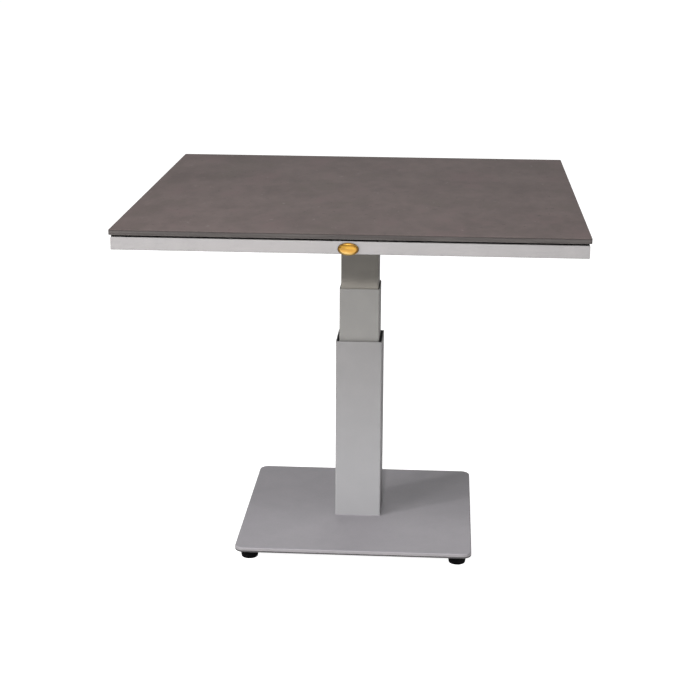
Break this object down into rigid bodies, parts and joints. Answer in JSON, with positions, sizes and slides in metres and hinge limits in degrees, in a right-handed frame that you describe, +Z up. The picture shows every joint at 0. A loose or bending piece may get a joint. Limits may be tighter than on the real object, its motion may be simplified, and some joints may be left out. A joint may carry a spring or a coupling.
{
  "type": "telescoping pedestal table",
  "caption": "Square high and low table: stone slab in a steel frame on a telescoping square column, heavy base plate, levelling feet and a lift release lever.",
  "frame": {"origin": "on the floor under the middle of the top, with the table fully raised", "axes": "+Z up, -Y towards the front rail with the oval badge, +X towards the release lever's grip"},
  "size_m": [0.9, 0.9, 0.75],
  "materials": {
    "grey_coat_frame": "satin",
    "grey_coat_column": "satin",
    "grey_coat_middle": "satin",
    "grey_coat_inner": "satin",
    "grey_coat_base": "satin",
    "stone_slab": "matte",
    "black_rubber": "matte",
    "black_plastic": "matte",
    "guide_plastic": "matte",
    "black_coat": "satin",
    "zinc_steel": "satin",
    "chrome_rod": "polished",
    "gold_badge": "polished",
    "adhesive": "matte"
  },
  "bodies": {
    "base": {"base_plate": "grey_coat_base", "column_flange": "grey_coat_base", "outer_tube": "grey_coat_column", "outer_guide": "guide_plastic", "foot_weld": "grey_coat_base", "base_bolts": "zinc_steel", "base_washers": "zinc_steel", "gas_cylinder": "black_coat", "cylinder_gland": "zinc_steel", "cylinder_nut": "zinc_steel"},
    "middle_stage": {"middle_tube": "grey_coat_middle", "middle_lower_guide": "guide_plastic", "middle_upper_guide": "guide_plastic"},
    "top": {"inner_tube": "grey_coat_inner", "inner_lower_guide": "guide_plastic", "head_weld": "grey_coat_frame", "top_plate": "grey_coat_frame", "gas_rod": "chrome_rod", "gas_piston": "zinc_steel", "rod_lower_nut": "zinc_steel", "rod_upper_nut": "zinc_steel", "rail_front": "grey_coat_frame", "rail_right": "grey_coat_frame", "rail_back": "grey_coat_frame", "rail_left": "grey_coat_frame", "cross_bar_front": "grey_coat_frame", "cross_bar_back": "grey_coat_frame", "slab_pads": "black_rubber", "table_top": "stone_slab", "badge_plate": "gold_badge", "badge_adhesive": "adhesive", "top_plate_screws": "zinc_steel", "top_plate_washers": "zinc_steel", "lever_bracket": "zinc_steel", "bracket_screws": "zinc_steel", "pivot_pin": "zinc_steel", "pivot_clip": "zinc_steel", "lever_stop": "black_rubber"},
    "lever": {"release_lever": "zinc_steel", "lever_grip": "black_plastic"},
    "spring_release": {"release_pin": "zinc_steel"},
    "foot_stud_front_left": {"foot_stud_front_left": "zinc_steel"},
    "foot_front_left": {"foot_pad_front_left": "black_rubber"},
    "foot_stud_front_right": {"foot_stud_front_right": "zinc_steel"},
    "foot_front_right": {"foot_pad_front_right": "black_rubber"},
    "foot_stud_back_right": {"foot_stud_back_right": "zinc_steel"},
    "foot_back_right": {"foot_pad_back_right": "black_rubber"},
    "foot_stud_back_left": {"foot_stud_back_left": "zinc_steel"},
    "foot_back_left": {"foot_pad_back_left": "black_rubber"}
  },
  "joints": [
    {"name": "table_lift", "type": "slide", "parent": "base", "child": "top", "axis": [0, 0, 1], "range_m": [-0.265, 0]},
    {"name": "middle_stage_slide", "type": "slide", "parent": "base", "child": "middle_stage", "axis": [0, 0, 1], "range_m": [-0.1114, 0]},
    {"name": "release_lever_hinge", "type": "hinge", "parent": "top", "child": "lever", "pos_m": [0.06, 0, 0.7263], "axis": [0, -1, 0], "range_deg": [0, 4.25]},
    {"name": "release_pin_slide", "type": "slide", "parent": "top", "child": "spring_release", "axis": [0, 0, 1], "range_m": [-0.0045, 0]},
    {"name": "foot_front_left_extend", "type": "slide", "parent": "base", "child": "foot_stud_front_left", "axis": [0, 0, -1], "range_m": [0, 0.00375]},
    {"name": "foot_front_left_turn", "type": "hinge", "parent": "foot_stud_front_left", "child": "foot_front_left", "pos_m": [-0.22, -0.22, 0.01], "axis": [0, 0, -1], "range_deg": [0, 1080.2]},
    {"name": "foot_front_right_extend", "type": "slide", "parent": "base", "child": "foot_stud_front_right", "axis": [0, 0, -1], "range_m": [0, 0.00375]},
    {"name": "foot_front_right_turn", "type": "hinge", "parent": "foot_stud_front_right", "child": "foot_front_right", "pos_m": [0.22, -0.22, 0.01], "axis": [0, 0, -1], "range_deg": [0, 1080.2]},
    {"name": "foot_back_right_extend", "type": "slide", "parent": "base", "child": "foot_stud_back_right", "axis": [0, 0, -1], "range_m": [0, 0.00375]},
    {"name": "foot_back_right_turn", "type": "hinge", "parent": "foot_stud_back_right", "child": "foot_back_right", "pos_m": [0.22, 0.22, 0.01], "axis": [0, 0, -1], "range_deg": [0, 1080.2]},
    {"name": "foot_back_left_extend", "type": "slide", "parent": "base", "child": "foot_stud_back_left", "axis": [0, 0, -1], "range_m": [0, 0.00375]},
    {"name": "foot_back_left_turn", "type": "hinge", "parent": "foot_stud_back_left", "child": "foot_back_left", "pos_m": [-0.22, 0.22, 0.01], "axis": [0, 0, -1], "range_deg": [0, 1080.2]}
  ],
  "couplings": [
    {"joint": "middle_stage_slide", "follows": "table_lift", "ratio": 0.42},
    {"joint": "release_pin_slide", "follows": "release_lever_hinge", "m_per_rad": -0.06},
    {"joint": "foot_front_left_turn", "follows": "foot_front_left_extend", "rad_per_m": 5026.5},
    {"joint": "foot_front_right_turn", "follows": "foot_front_right_extend", "rad_per_m": 5026.5},
    {"joint": "foot_back_right_turn", "follows": "foot_back_right_extend", "rad_per_m": 5026.5},
    {"joint": "foot_back_left_turn", "follows": "foot_back_left_extend", "rad_per_m": 5026.5}
  ]
}
